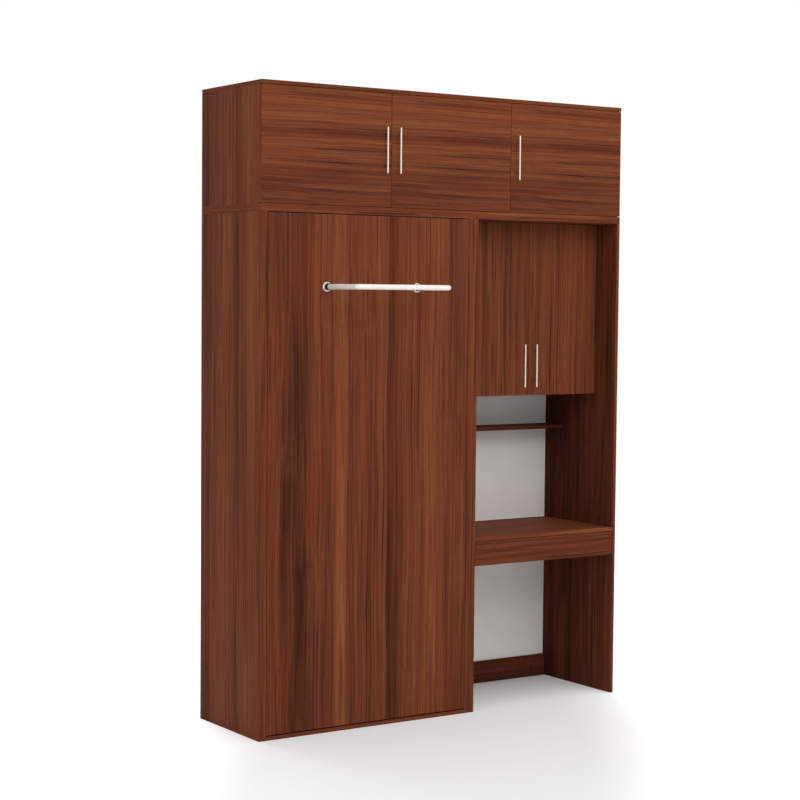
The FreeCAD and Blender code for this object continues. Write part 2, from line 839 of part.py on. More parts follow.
# Top doors: the first opens to the left, the other two to the right
top_door_width = top_bay_pitch - door_gap
top_door_bottom = top_floor_top + door_gap
top_door_top = top_roof_z - door_gap
top_handle_z = (top_door_bottom + top_door_top) / 2
side_offset = board - door_gap / 2
shared_offset = board / 2 - door_gap / 2
make_door(
    "top_left_door", left + door_gap / 2, 1, front, top_door_width,
    top_door_bottom, top_door_top, side_offset, top_handle_z,
)
make_door(
    "top_middle_door", left + 2 * top_bay_pitch - door_gap / 2, -1, front, top_door_width,
    top_door_bottom, top_door_top, shared_offset, top_handle_z,
)
make_door(
    "top_right_door", right - door_gap / 2, -1, front, top_door_width,
    top_door_bottom, top_door_top, side_offset, top_handle_z,
)

# Wall cabinet doors: a pair that meets in the middle, between the desk unit's sides
wall_door_width = (desk_inside - 3 * door_gap) / 2
wall_handle_z = wall_door_bottom + handle_low_gap + handle_length / 2
make_door(
    "wall_left_door", desk_left + door_gap, 1, wall_door_face, wall_door_width,
    wall_door_bottom, wall_door_top, -door_gap, wall_handle_z,
)
make_door(
    "wall_right_door", desk_right - door_gap, -1, wall_door_face, wall_door_width,
    wall_door_bottom, wall_door_top, -door_gap, wall_handle_z,
)
save("hinge_arms", *hinge_arms)
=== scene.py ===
import math

import bmesh
import bpy
from mathutils import Matrix, Vector


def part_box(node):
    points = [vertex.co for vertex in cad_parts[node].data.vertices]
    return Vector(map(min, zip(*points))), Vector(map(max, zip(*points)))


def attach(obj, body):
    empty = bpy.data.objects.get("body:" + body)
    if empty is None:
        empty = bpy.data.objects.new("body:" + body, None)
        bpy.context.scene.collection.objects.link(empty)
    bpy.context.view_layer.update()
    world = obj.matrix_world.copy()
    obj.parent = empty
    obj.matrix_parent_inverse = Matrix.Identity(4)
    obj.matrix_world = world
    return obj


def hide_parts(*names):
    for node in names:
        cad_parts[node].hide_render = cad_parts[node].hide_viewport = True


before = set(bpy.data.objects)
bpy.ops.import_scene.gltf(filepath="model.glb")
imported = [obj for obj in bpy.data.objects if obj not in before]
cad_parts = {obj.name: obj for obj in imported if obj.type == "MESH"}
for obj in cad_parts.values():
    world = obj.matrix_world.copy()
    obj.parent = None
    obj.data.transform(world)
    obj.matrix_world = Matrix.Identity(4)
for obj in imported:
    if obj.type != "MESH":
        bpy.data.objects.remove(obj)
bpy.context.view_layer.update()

# The camera
# It stands where the photograph's corners put it: left of the furniture, at the height of a
# tall person's eyes, turned to the right, dipped and rolled a little. The frame is square.
camera_place = Vector((-4.58991, -6.75020, 1.77316))
camera_turn = math.radians(33.7063)
camera_dip = math.radians(3.11165)
camera_roll = math.radians(0.50515)
camera_lens = 85.177

ahead = Vector((
    math.sin(camera_turn) * math.cos(camera_dip),
    math.cos(camera_turn) * math.cos(camera_dip),
    -math.sin(camera_dip),
))
level = Vector((math.cos(camera_turn), -math.sin(camera_turn), 0))
upright = level.cross(ahead)
side = math.cos(camera_roll) * level + math.sin(camera_roll) * upright
top = math.cos(camera_roll) * upright - math.sin(camera_roll) * level
camera = bpy.data.objects.new("camera", bpy.data.cameras.new("camera"))
camera.data.lens = camera_lens
camera_axes = Matrix((side, top, -ahead)).transposed()
camera.matrix_world = Matrix.Translation(camera_place) @ camera_axes.to_4x4()
bpy.context.scene.collection.objects.link(camera)
bpy.context.scene.camera = camera


# The studio
# White paper floor and white air all round, as for a shop picture. A large soft lamp behind and
# over the furniture throws its shadow softly forward, and a larger one lights it from the front.
# The painted shadow in front is an oval, told by its middle, turn, edge and length as a share of width.
white = (1, 1, 1, 1)
air_light = 0.74
floor_half_size = 30.0
floor_white = "#DCDCDC"
floor_lift_near = 0.24
floor_lift_far = 0.52
shade_edge_starts = 0.6
shade_edge_ends = 1.05
shade_middle = (-0.51, -0.85, 0)
shade_turn = math.radians(-37.6)
shade_length = 2.9
open_air_reach = 0.8
open_air_samples = 8
shut_in = 0.15
wide_open = 0.45


def srgb(code):
    """The linear colour of an sRGB hex code."""
    shares = [int(code[place:place + 2], 16) / 255 for place in (1, 3, 5)]
    linear = [s / 12.92 if s <= 0.04045 else ((s + 0.055) / 1.055) ** 2.4 for s in shares]
    return (*linear, 1)


def feed(tree, node, links):
    """Feeds sockets of a node, each from an output, or from the first output of another node."""
    for key, source in links.items():
        tree.links.new(getattr(source, "outputs", [source])[0], node.inputs[key])


def add_node(tree, kind, settings=None, links=None):
    """A new node with its settings and socket values, and what feeds its sockets. The stops of a
    colour ramp are places with a hex code or a share of grey."""
    node = tree.nodes.new(kind)
    for key, value in (settings or {}).items():
        if key == "stops":
            ramp = node.color_ramp.elements
            for number, (spot, colour) in enumerate(value):
                stop = ramp[number] if number < len(ramp) else ramp.new(spot)
                stop.position = spot
                stop.color = srgb(colour) if isinstance(colour, str) else (colour, colour, colour, 1)
        elif isinstance(key, str) and hasattr(node, key):
            setattr(node, key, value)
        else:
            node.inputs[key].default_value = value
    feed(tree, node, links or {})
    return node


def white_to_the_eye(tree):
    """1 on rays that the camera, glossy things and clear things send out, and 0 on light."""
    rays = add_node(tree, "ShaderNodeLightPath")
    seen = rays.outputs["Is Camera Ray"]
    for kind in ("Is Glossy Ray", "Is Transmission Ray"):
        seen = add_node(tree, "ShaderNodeMath", {"operation": "MAXIMUM"},
                        {0: seen, 1: rays.outputs[kind]})
    return seen


scene = bpy.context.scene
scene.view_settings.view_transform = "Standard"
world = bpy.data.worlds.new("white_air")
scene.world = world
world.use_nodes = True
tree = world.node_tree
tree.nodes.clear()
lit = add_node(tree, "ShaderNodeBackground", {"Color": white, "Strength": air_light})
shown = add_node(tree, "ShaderNodeBackground", {"Color": white, "Strength": 1})
air = add_node(tree, "ShaderNodeMixShader", {}, {0: white_to_the_eye(tree), 1: lit, 2: shown})
add_node(tree, "ShaderNodeOutputWorld", {}, {0: air})

lamps = (
    ("back_lamp", 6.0, 2.5, 260, (1.0, 3.4, 5.6), (0.0, -0.3, 0.4)),
    ("front_lamp", 5.0, 4.0, 128, (-0.8, -5.6, 5.1), (0.0, 0.0, 1.0)),
)
for name, width, depth, power, place, target in lamps:
    lamp_data = bpy.data.lights.new(name, "AREA")
    lamp_data.shape = "RECTANGLE"
    lamp_data.size = width
    lamp_data.size_y = depth
    lamp_data.energy = power
    lamp = bpy.data.objects.new(name, lamp_data)
    lamp.location = place
    lamp.rotation_euler = (Vector(target) - Vector(place)).to_track_quat("-Z", "Y").to_euler()
    scene.collection.objects.link(lamp)

paper = bpy.data.materials.new("white_paper")
paper.use_nodes = True
tree = paper.node_tree
tree.nodes.clear()
# To the eye the paper glows whiter outside a painted oval of shadow in front, and glows less where it is
# shut in, as painted shade
ground = add_node(tree, "ShaderNodeNewGeometry")
spot = add_node(tree, "ShaderNodeMapping", {
    "vector_type": "TEXTURE", "Location": shade_middle, "Rotation": (0, 0, shade_turn),
    "Scale": (1, shade_length, 1),
}, {"Vector": ground.outputs["Position"]})
distance = add_node(tree, "ShaderNodeVectorMath", {"operation": "LENGTH"}, {0: spot})
pale = add_node(tree, "ShaderNodeMapRange", {
    "interpolation_type": "SMOOTHSTEP", "From Min": shade_edge_starts, "From Max": shade_edge_ends,
    "To Min": floor_lift_near, "To Max": floor_lift_far,
}, {"Value": distance.outputs["Value"]})
around = add_node(tree, "ShaderNodeAmbientOcclusion",
                  {"samples": open_air_samples, "Distance": open_air_reach})
open_air = add_node(tree, "ShaderNodeMapRange", {"From Min": shut_in, "From Max": wide_open},
                    {"Value": around.outputs["AO"]})
lift = add_node(tree, "ShaderNodeMath", {"operation": "MULTIPLY"}, {0: open_air, 1: pale})
lift = add_node(tree, "ShaderNodeMath", {"operation": "MULTIPLY"}, {0: white_to_the_eye(tree), 1: lift})
glow = add_node(tree, "ShaderNodeEmission", {"Color": white}, {"Strength": lift})
matt = add_node(tree, "ShaderNodeBsdfDiffuse", {"Color": srgb(floor_white)})
both = add_node(tree, "ShaderNodeAddShader", {}, {0: matt, 1: glow})
add_node(tree, "ShaderNodeOutputMaterial", {}, {0: both})

floor_mesh = bpy.data.meshes.new("floor")
corners = [(x * floor_half_size, y * floor_half_size, 0) for x, y in ((-1, -1), (1, -1), (1, 1), (-1, 1))]
floor_mesh.from_pydata(corners, [], [(0, 1, 2, 3)])
floor = bpy.data.objects.new("floor", floor_mesh)
floor_mesh.materials.append(paper)
scene.collection.objects.link(floor)


# Walnut-faced boards
# Particle board faced with melamine paper that is printed as red-brown walnut. The paper is
# pressed on a satin plate: even colour, hardly any gloss, fine pores. The cut edges are banded
# with the same print, which runs along the edge.
mm = 0.001
along_x, along_y, along_z = range(3)
walnut_dark = "#42211A"
walnut_shade = "#5B3021"
walnut_body = "#723D29"
walnut_warm = "#84492D"
walnut_light = "#98603C"
walnut_red = "#7E3A22"
band_width = 85 * mm
stripe_width = 13 * mm
line_width = 5 * mm
streak_width = 8 * mm
redness_width = 60 * mm
pore_width = 1.5 * mm
pore_depth = 0.2 * mm
wander = 14 * mm
crease_angle = math.radians(32)


def finish_material(name, settings):
    """A material with its node tree, one principled shader, and the coordinates of its pieces."""
    material = bpy.data.materials.new(name)
    material.use_nodes = True
    tree = material.node_tree
    tree.nodes.clear()
    shader = add_node(tree, "ShaderNodeBsdfPrincipled", settings)
    add_node(tree, "ShaderNodeOutputMaterial", {}, {0: shader})
    return material, tree, shader, add_node(tree, "ShaderNodeTexCoord")


def walnut_melamine(name, grain, edge, shift=(0, 0, 0), figure=(), across=0, low=0, high=1):
    """The printed walnut: grain is the axis it runs along, edge the axis that the bands on the
    board's ends run along, and figure the print's broad stripes across the board."""
    material, tree, shader, coords = finish_material("walnut_melamine_" + name, {
        "Roughness": 0.55, "IOR": 1.5, "Specular IOR Level": 0.02,
    })

    def along(share):
        return tuple(share if axis == grain else 1 for axis in range(3))

    parts = add_node(tree, "ShaderNodeSeparateXYZ", {}, {0: coords.outputs["Object"]})
    order = [along_x, along_y, along_z]
    order[grain], order[edge] = edge, grain
    turned_print = add_node(tree, "ShaderNodeCombineXYZ", {},
                            {axis: parts.outputs[order[axis]] for axis in range(3)})
    facing = add_node(tree, "ShaderNodeSeparateXYZ", {}, {0: coords.outputs["Normal"]})
    at_end = add_node(tree, "ShaderNodeMath", {"operation": "ABSOLUTE"}, {0: facing.outputs[grain]})
    at_end = add_node(tree, "ShaderNodeMath", {"operation": "GREATER_THAN", 1: 0.6}, {0: at_end})
    place = add_node(tree, "ShaderNodeMix", {"data_type": "VECTOR"},
                     {"Factor": at_end, "A": coords.outputs["Object"], "B": turned_print})
    place = add_node(tree, "ShaderNodeVectorMath", {"operation": "ADD", 1: shift},
                     {0: place.outputs["Result"]})

    sway = tuple(0 if axis == grain else 2 * wander for axis in range(3))
    slow = add_node(tree, "ShaderNodeVectorMath", {"operation": "MULTIPLY", 1: along(0.5)}, {0: place})
    drift = add_node(tree, "ShaderNodeTexNoise", {"Scale": 3.0, "Detail": 1}, {"Vector": slow})
    drift = add_node(tree, "ShaderNodeVectorMath",
                     {"operation": "MULTIPLY_ADD", 1: sway, 2: tuple(-value / 2 for value in sway)},
                     {0: drift.outputs["Color"]})
    fibre = add_node(tree, "ShaderNodeVectorMath", {"operation": "ADD"}, {0: place, 1: drift})

    def grain_noise(width, stretch, detail, roughness=0.5):
        """Noise in streaks of that width, so many times as long as they are wide."""
        long = add_node(tree, "ShaderNodeVectorMath", {"operation": "MULTIPLY", 1: along(1 / stretch)},
                        {0: fibre})
        return add_node(tree, "ShaderNodeTexNoise",
                        {"Scale": 1 / width, "Detail": detail, "Roughness": roughness}, {"Vector": long})

    bands = grain_noise(band_width, 14, 2)
    stripes = grain_noise(stripe_width, 110, 3, 0.6)
    lines = grain_noise(line_width, 200, 2)
    streaks = add_node(tree, "ShaderNodeMapRange", {
        "interpolation_type": "SMOOTHSTEP", "From Min": 0.60, "From Max": 0.72, "To Min": 0, "To Max": -0.3,
    }, {"Value": grain_noise(streak_width, 150, 1)})
    tone = add_node(tree, "ShaderNodeMath", {"operation": "ADD", 1: 0.5}, {0: streaks})
    for source, weight in ((bands, 0.5), (stripes, 0.85), (lines, 0.8)):
        part = add_node(tree, "ShaderNodeMath",
                        {"operation": "MULTIPLY_ADD", 1: weight, 2: -weight / 2}, {0: source})
        tone = add_node(tree, "ShaderNodeMath", {"operation": "ADD"}, {0: tone, 1: part})
    if figure:
        split = add_node(tree, "ShaderNodeSeparateXYZ", {}, {0: fibre})
        share = add_node(tree, "ShaderNodeMapRange", {"From Min": low, "From Max": high},
                         {"Value": split.outputs[across]})
        broad = add_node(tree, "ShaderNodeValToRGB", {"stops": figure}, {"Fac": share})
        broad.color_ramp.interpolation = "EASE"
        broad = add_node(tree, "ShaderNodeMath", {"operation": "SUBTRACT", 1: 0.5}, {0: broad})
        tone = add_node(tree, "ShaderNodeMath", {"operation": "ADD"}, {0: tone, 1: broad})
    paint = add_node(tree, "ShaderNodeValToRGB", {
        "stops": ((0.0, walnut_dark), (0.28, walnut_shade), (0.5, walnut_body), (0.72, walnut_warm),
                  (1.0, walnut_light)),
    }, {"Fac": tone})
    redness = add_node(tree, "ShaderNodeMapRange",
                       {"From Min": 0.45, "From Max": 0.7, "To Min": 0, "To Max": 0.38},
                       {"Value": grain_noise(redness_width, 12, 1)})
    paint = add_node(tree, "ShaderNodeMix", {"data_type": "RGBA", "B": srgb(walnut_red)},
                     {"Factor": redness, "A": paint})
    pores = add_node(tree, "ShaderNodeMapRange",
                     {"From Min": 0.34, "From Max": 0.46, "To Min": 0.82, "To Max": 1.0},
                     {"Value": grain_noise(pore_width, 30, 1)})
    colour = add_node(tree, "ShaderNodeMix", {"data_type": "RGBA", "blend_type": "MULTIPLY", "Factor": 1.0},
                      {"A": paint.outputs["Result"], "B": pores})
    relief = add_node(tree, "ShaderNodeBump", {"Strength": 0.25, "Distance": pore_depth},
                      {"Height": pores})
    feed(tree, shader, {"Base Color": colour.outputs["Result"], "Normal": relief})
    return material


def dress(node, material):
    """Give a CAD node or a mesh its finish, with its round faces smooth and its edges sharp."""
    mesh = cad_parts[node].data if isinstance(node, str) else node
    mesh.materials.clear()
    mesh.materials.append(material)
    mesh.polygons.foreach_set("use_smooth", [True] * len(mesh.polygons))
    mesh.set_sharp_from_angle(angle=crease_angle)


low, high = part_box("bed_front_panel")
dress("bed_front_panel", walnut_melamine(
    "bed_panel", along_z, along_x,
    figure=((0, 0.5), (0.055, 0.42), (0.085, 0.26), (0.18, 0.28), (0.21, 0.42), (0.3, 0.48), (0.34, 0.68),
            (0.375, 0.64), (0.4, 0.46), (0.46, 0.5), (0.5, 0.44), (0.55, 0.56), (0.58, 0.55), (0.592, 0.24),
            (0.635, 0.28), (0.65, 0.46), (0.73, 0.5), (0.79, 0.66), (0.86, 0.6), (0.91, 0.42), (1, 0.44)),
    across=along_x, low=low.x, high=high.x,
))

low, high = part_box("bed_unit_left_side")
for number, node in enumerate(("bed_unit_left_side", "top_cabinet_sides")):
    dress(node, walnut_melamine(
        node, along_z, along_y, shift=(0.05 * number, 0, 0.4 * number),
        figure=((0, 0.46), (0.06, 0.56), (0.2, 0.62), (0.33, 0.5), (0.38, 0.3), (0.43, 0.34), (0.47, 0.52),
                (0.7, 0.5), (0.82, 0.44), (0.9, 0.28), (1, 0.34)),
        across=along_y, low=low.y, high=high.y,
    ))

upright_boards = {
    "bed_unit_right_side": along_y, "bed_unit_front_stiles": along_x, "desk_unit_left_side": along_y,
    "desk_unit_right_side": along_y, "top_cabinet_partitions": along_y, "wall_left_door": along_x,
    "wall_right_door": along_x, "bed_side_rails": along_y,
}
for number, (node, edge) in enumerate(upright_boards.items()):
    shift = (0.7 * number + 0.31, 0.4 * number, 0)
    dress(node, walnut_melamine(node, along_z, edge, shift))

# The inner face of the right side is printed darker toward the back, as painted shade deep in the recess
low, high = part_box("desk_unit_right_side")
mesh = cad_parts["desk_unit_right_side"].data
mesh.materials.append(walnut_melamine(
    "desk_unit_inner_face_painted_shade", along_z, along_y, shift=(2.41, 0, 1.2),
    figure=((0, 0.38), (0.2, 0.32), (0.35, 0.26), (0.5, 0.2), (0.7, 0.13), (0.85, 0.05), (1, 0)),
    across=along_y, low=low.y, high=high.y,
))
for polygon in mesh.polygons:
    if polygon.normal.x < -0.5:
        polygon.material_index = 1

# The level boards: the rail under the worktop, the niche shelf and the drawer front are printed darker than
# the middle tone of 0.5 as painted shade, and the worktop paler as painted light
level_boards = {
    "bed_unit_top_board": along_y, "bed_unit_bottom_board": along_y, "desk_unit_top_board": along_y,
    "desk_worktop": along_y, "niche_shelf": along_y, "desk_floor_rail": along_z,
    "wall_cabinet_floor": along_y, "wall_cabinet_shelf": along_y, "top_cabinet_floor": along_y,
    "top_cabinet_roof": along_y, "bed_end_boards": along_y, "drawer_front": along_z,
    "wall_fixing_rails": along_z,
}
shade_and_light_tones = {"desk_floor_rail": 0.08, "niche_shelf": 0.16, "drawer_front": 0.4, "desk_worktop": 0.6}
for number, (node, edge) in enumerate(level_boards.items()):
    shift = (0, 0.37 * number, 0.53 * number)
    tone = shade_and_light_tones.get(node, 0.5)
    dress(node, walnut_melamine(node, along_x, edge, shift, figure=((0, tone), (1, tone))))

low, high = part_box("top_left_door")
for number, node in enumerate(("top_left_door", "top_middle_door", "top_right_door")):
    dress(node, walnut_melamine(
        node, along_x, along_z, shift=(-0.61 * number, 0, 0),
        figure=((0, 0.5), (0.1, 0.4), (0.2, 0.38), (0.27, 0.5), (0.38, 0.54), (0.5, 0.6), (0.57, 0.64),
                (0.605, 0.3), (0.635, 0.32), (0.66, 0.58), (0.74, 0.76), (0.86, 0.74), (0.94, 0.64),
                (1, 0.56)),
        across=along_z, low=low.z, high=high.z,
    ))


# White back sheets
# Hardboard 3 mm thick behind each unit, nailed to the boards' rear edges. Its front is lacquered
# white: smooth, barely glossy. Its back and edges are bare brown fibre, felted and speckled.
sheet_white = "#F6F3EF"
sheet_shade = "#F3F0EC"
fibre_pale = "#A07D58"
fibre_brown = "#7C5A3B"
felt_width = 3 * mm
felt_depth = 0.3 * mm
lacquer_cloud_width = 90 * mm

sheet, tree, shader, coords = finish_material("white_lacquered_hardboard",
                                              {"IOR": 1.5, "Specular IOR Level": 0.1})
facing = add_node(tree, "ShaderNodeSeparateXYZ", {}, {0: coords.outputs["Normal"]})
bare = add_node(tree, "ShaderNodeMath", {"operation": "GREATER_THAN", 1: -0.5}, {0: facing.outputs[along_y]})
felt = add_node(tree, "ShaderNodeTexNoise", {"Scale": 1 / felt_width, "Detail": 3, "Roughness": 0.65},
                {"Vector": coords.outputs["Object"]})
cloud = add_node(tree, "ShaderNodeTexNoise", {"Scale": 1 / lacquer_cloud_width, "Detail": 2},
                 {"Vector": coords.outputs["Object"]})
lacquer = add_node(tree, "ShaderNodeValToRGB",
                   {"stops": ((0.3, sheet_shade), (0.7, sheet_white))}, {"Fac": cloud})
fibre = add_node(tree, "ShaderNodeValToRGB",
                 {"stops": ((0.3, fibre_brown), (0.7, fibre_pale))}, {"Fac": felt})
colour = add_node(tree, "ShaderNodeMix", {"data_type": "RGBA"},
                  {"Factor": bare, "A": lacquer, "B": fibre})
dull = add_node(tree, "ShaderNodeMapRange", {"To Min": 0.42, "To Max": 0.85}, {"Value": bare})
relief = add_node(tree, "ShaderNodeBump", {"Distance": felt_depth}, {"Strength": bare, "Height": felt})
feed(tree, shader, {"Base Color": colour.outputs["Result"], "Roughness": dull, "Normal": relief})
for node in ("bed_unit_back_panel", "desk_unit_back_panel", "top_cabinet_back_panel"):
    dress(node, sheet)


# Bolts that join the units
# Nickel-plated sleeve bolts between the three units. The heads are pressed slightly domed, with
# a cross recess for the driver, and shine softly.
bolt_head_radius = 7 * mm
bolt_head_height = 2.5 * mm
bolt_dome = 1.2 * mm
# Bolts through the sides by depth and height, and through the decks by depth, in millimetres
side_bolts = ((-189.5, 169.76), (186.5, 169.76), (-189.5, 954.9), (186.5, 954.9), (186.5, 1909.8))
deck_bolt_depths = (56.5, 186.5)
bed_bolt_shares = (0.24, 0.77)
desk_bolt_shares = (0.27, 0.73)
nickel_pale = "#D3D0CB"
nickel_deep = "#B4B1AC"


def varied_finish(name, pale, deep, spot, rough, relief, settings=None, stretch=(1, 1, 1)):
    """A finish whose colour, roughness and relief vary together over spots of one size."""
    material, tree, shader, coords = finish_material(name, settings or {})
    squeeze = tuple(1 / share for share in stretch)
    place = add_node(tree, "ShaderNodeVectorMath", {"operation": "MULTIPLY", 1: squeeze},
                     {0: coords.outputs["Object"]})
    cloud = add_node(tree, "ShaderNodeTexNoise", {"Scale": 1 / spot, "Detail": 3}, {"Vector": place})
    colour = add_node(tree, "ShaderNodeValToRGB", {"stops": ((0.3, deep), (0.7, pale))}, {"Fac": cloud})
    gloss = add_node(tree, "ShaderNodeMapRange",
                     {"From Min": 0.3, "From Max": 0.7, "To Min": rough[0], "To Max": rough[1]},
                     {"Value": cloud})
    bump = add_node(tree, "ShaderNodeBump", {"Strength": 0.4, "Distance": relief}, {"Height": cloud})
    feed(tree, shader, {"Base Color": colour, "Roughness": gloss, "Normal": bump})
    return material


def mesh_of(bm, name):
    """The mesh of a bmesh, which isn't needed any more."""
    mesh = bpy.data.meshes.new(name)
    bm.to_mesh(mesh)
    bm.free()
    return mesh


def turned(bm, outline, turns=32, closed=False):
    """A turned skin about Z through (radius, height) points. A closed outline makes a ring."""
    rings = []
    for radius, height in outline:
        angles = [2 * math.pi * number / turns for number in range(turns)]
        rings.append([bm.verts.new((radius * math.cos(a), radius * math.sin(a), height)) for a in angles])
    for lower, upper in zip(rings, rings[1:] + rings[:1] if closed else rings[1:]):
        for number in range(turns):
            after = (number + 1) % turns
            bm.faces.new((lower[number], lower[after], upper[after], upper[number]))
    return rings


def turned_part(name, outline, unit=1, turns=32, closed=False):
    """The mesh of a turned part. A closed outline is a ring, and an open one gets flat ends."""
    bm = bmesh.new()
    rings = turned(bm, [(radius * unit, height * unit) for radius, height in outline], turns, closed)
    if not closed:
        bm.faces.new(rings[0])
        bm.faces.new(rings[-1])
    return mesh_of(bm, name)


def screw_head(radius, height):
    """A domed head on the plane Z = 0, with a cross recess."""
    bm = bmesh.new()
    outline = ((radius, 0), (radius, 0.3 * height), (0.88 * radius, 0.75 * height), (0.68 * radius, height))
    rings = turned(bm, outline, 24)
    bm.faces.new(rings[0])
    long, short = 0.56 * radius, 0.13 * radius
    quarter = ((long, -short), (long, short), (short, short))
    spots = []
    for number in range(4):
        turn = Matrix.Rotation(number * math.pi / 2, 2)
        spots += [turn @ Vector(spot) for spot in quarter]
    rim = [bm.verts.new((spot.x, spot.y, height)) for spot in spots]
    pit = [bm.verts.new((0.7 * spot.x, 0.7 * spot.y, 0.35 * height)) for spot in spots]
    for number in range(len(rim)):
        after = (number + 1) % len(rim)
        bm.faces.new((rim[number], rim[after], pit[after], pit[number]))
    bm.faces.new(pit)
    loops = [(ring[number - 1], ring[number]) for ring in (rings[-1], rim) for number in range(len(ring))]
    edges = [bm.edges.get(pair) for pair in loops]
    bmesh.ops.triangle_fill(bm, use_beauty=True, edges=edges)
    return mesh_of(bm, "screw_head")


def stamp(bm, part, place, direction):
    """Adds a copy of a part that stands on Z = 0, at a place and facing a direction."""
    before = set(bm.verts)
    bm.from_mesh(part)
    turn = Vector(direction).to_track_quat("Z", "Y").to_matrix().to_4x4()
    matrix = Matrix.Translation(place) @ turn
    bmesh.ops.transform(bm, matrix=matrix, verts=[vert for vert in bm.verts if vert not in before])


def finished_piece(name, bm, material, body, slot, *nodes):
    """An object from a bmesh, which rides on a body and stands for the nodes that it replaces."""
    bmesh.ops.recalc_face_normals(bm, faces=bm.faces)
    mesh = mesh_of(bm, name)
    dress(mesh, material)
    piece = bpy.data.objects.new(name, mesh)
    scene.collection.objects.link(piece)
    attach(piece, body)
    if nodes:
        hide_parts(*nodes)


nickel = varied_finish("nickel_plated_steel", nickel_pale, nickel_deep, 12 * mm, (0.2, 0.3), 0.02 * mm,
                       {"Metallic": 1.0})
dress("unit_joining_bolts", nickel)
bm = bmesh.new()
dome = screw_head(0.96 * bolt_head_radius, bolt_dome)
split_low, split_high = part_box("bed_unit_right_side")[0].x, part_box("desk_unit_left_side")[1].x
for y, z in side_bolts:
    stamp(bm, dome, (split_low - bolt_head_height, y * mm, z * mm), (-1, 0, 0))
    stamp(bm, dome, (split_high + bolt_head_height, y * mm, z * mm), (1, 0, 0))
deck_low, deck_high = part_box("bed_unit_top_board")[0].z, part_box("top_cabinet_floor")[1].z
bed_left, bed_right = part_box("bed_unit_left_side")[1].x, split_low
desk_left, desk_right = split_high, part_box("desk_unit_right_side")[0].x
rows = [bed_left + share * (bed_right - bed_left) for share in bed_bolt_shares]
rows += [desk_left + share * (desk_right - desk_left) for share in desk_bolt_shares]
for x in rows:
    for y in deck_bolt_depths:
        stamp(bm, dome, (x, y * mm, deck_low - bolt_head_height), (0, 0, -1))
        stamp(bm, dome, (x, y * mm, deck_high + bolt_head_height), (0, 0, 1))
finished_piece("joining_bolt_domes", bm, nickel, "cabinet", "nickel_hinge_steel")


# Bed base
# Fourteen slats of lacquered beech plywood lie across two planed pine bearers, which are screwed
# along the side rails. The slats show short flecks on the face and thin plies on their edges.
beech_pale = "#DDB98C"
beech_deep = "#C79A68"
beech_glue = "#9C7347"
ply = 1.4 * mm
fleck_width = 3 * mm
fleck_squeeze = (0.12, 1, 1)
beech_cloud_width = 60 * mm
pine_pale = "#E2C595"
pine_deep = "#C99C62"
pine_ring_width = 5 * mm

beech, tree, shader, coords = finish_material("lacquered_beech_plywood",
                                              {"Roughness": 0.4, "Specular IOR Level": 0.3})
long = add_node(tree, "ShaderNodeVectorMath", {"operation": "MULTIPLY", 1: fleck_squeeze},
                {0: coords.outputs["Object"]})
fleck = add_node(tree, "ShaderNodeTexNoise", {"Scale": 1 / fleck_width, "Detail": 2}, {"Vector": long})
broad = add_node(tree, "ShaderNodeTexNoise", {"Scale": 1 / beech_cloud_width, "Detail": 1},
                 {"Vector": long})
mixed = add_node(tree, "ShaderNodeMix", {"Factor": 0.45}, {"A": fleck, "B": broad})
face = add_node(tree, "ShaderNodeValToRGB",
                {"stops": ((0.35, beech_deep), (0.65, beech_pale))}, {"Fac": mixed})
parts = add_node(tree, "ShaderNodeSeparateXYZ", {}, {0: coords.outputs["Object"]})
layer = add_node(tree, "ShaderNodeMath", {"operation": "MULTIPLY", 1: 1 / ply}, {0: parts.outputs[along_y]})
layer = add_node(tree, "ShaderNodeMath", {"operation": "PINGPONG", 1: 1.0}, {0: layer})
plies = add_node(tree, "ShaderNodeValToRGB",
                 {"stops": ((0.1, beech_glue), (0.3, beech_deep), (0.9, beech_pale))}, {"Fac": layer})
facing = add_node(tree, "ShaderNodeSeparateXYZ", {}, {0: coords.outputs["Normal"]})
flat = add_node(tree, "ShaderNodeMath", {"operation": "ABSOLUTE"}, {0: facing.outputs[along_y]})
flat = add_node(tree, "ShaderNodeMath", {"operation": "GREATER_THAN", 1: 0.5}, {0: flat})
colour = add_node(tree, "ShaderNodeMix", {"data_type": "RGBA"}, {"Factor": flat, "A": plies, "B": face})
feed(tree, shader, {"Base Color": colour.outputs["Result"]})
dress("slats", beech)
# Planed pine: long pale rings along the bearer, dull and a little woolly
pine = varied_finish("planed_pine", pine_pale, pine_deep, pine_ring_width, (0.5, 0.62), 0.1 * mm,
                     stretch=(1, 1, 25))
dress("slat_bearers", pine)


# Mattress
# A foam mattress in a quilted cover of off-white ticking. The panels are sewn to the border with
# a tape round both edges, and stitched through in diamonds, so that they puff up between seams.
swell = 6 * mm
mattress_edge_round = 24 * mm
voxel = 14 * mm
pressure = 4
last_frame = 20
quilt_pitch = 118 * mm
quilt_depth = 3.5 * mm
quilt_half_width = 11 * mm
border_lines = (-28 * mm, 28 * mm)
ticking_white = "#EEEAE2"
ticking_shade = "#DDD7CC"
knit_pitch = 3 * mm
knit_depth = 0.6 * mm
ticking_cloud_width = 40 * mm


def rounded_block(bm, low, high, radius, steps=2):
    """A block between two corners, with its edges rounded."""
    low, high = Vector(map(min, low, high)), Vector(map(max, low, high))
    made = bmesh.ops.create_cube(bm, size=1)["verts"]
    matrix = Matrix.Translation((low + high) / 2) @ Matrix.Diagonal((*(high - low), 1))
    bmesh.ops.transform(bm, matrix=matrix, verts=made)
    edges = list({edge for vert in made for edge in vert.link_edges})
    bmesh.ops.bevel(bm, geom=edges, offset=radius, segments=steps, profile=0.5, affect="EDGES")


def apply_modifiers(piece):
    """Turns what a piece's modifiers show into its own mesh."""
    bpy.context.view_layer.update()
    shown = piece.evaluated_get(bpy.context.evaluated_depsgraph_get())
    piece.data = bpy.data.meshes.new_from_object(shown)
    piece.modifiers.clear()


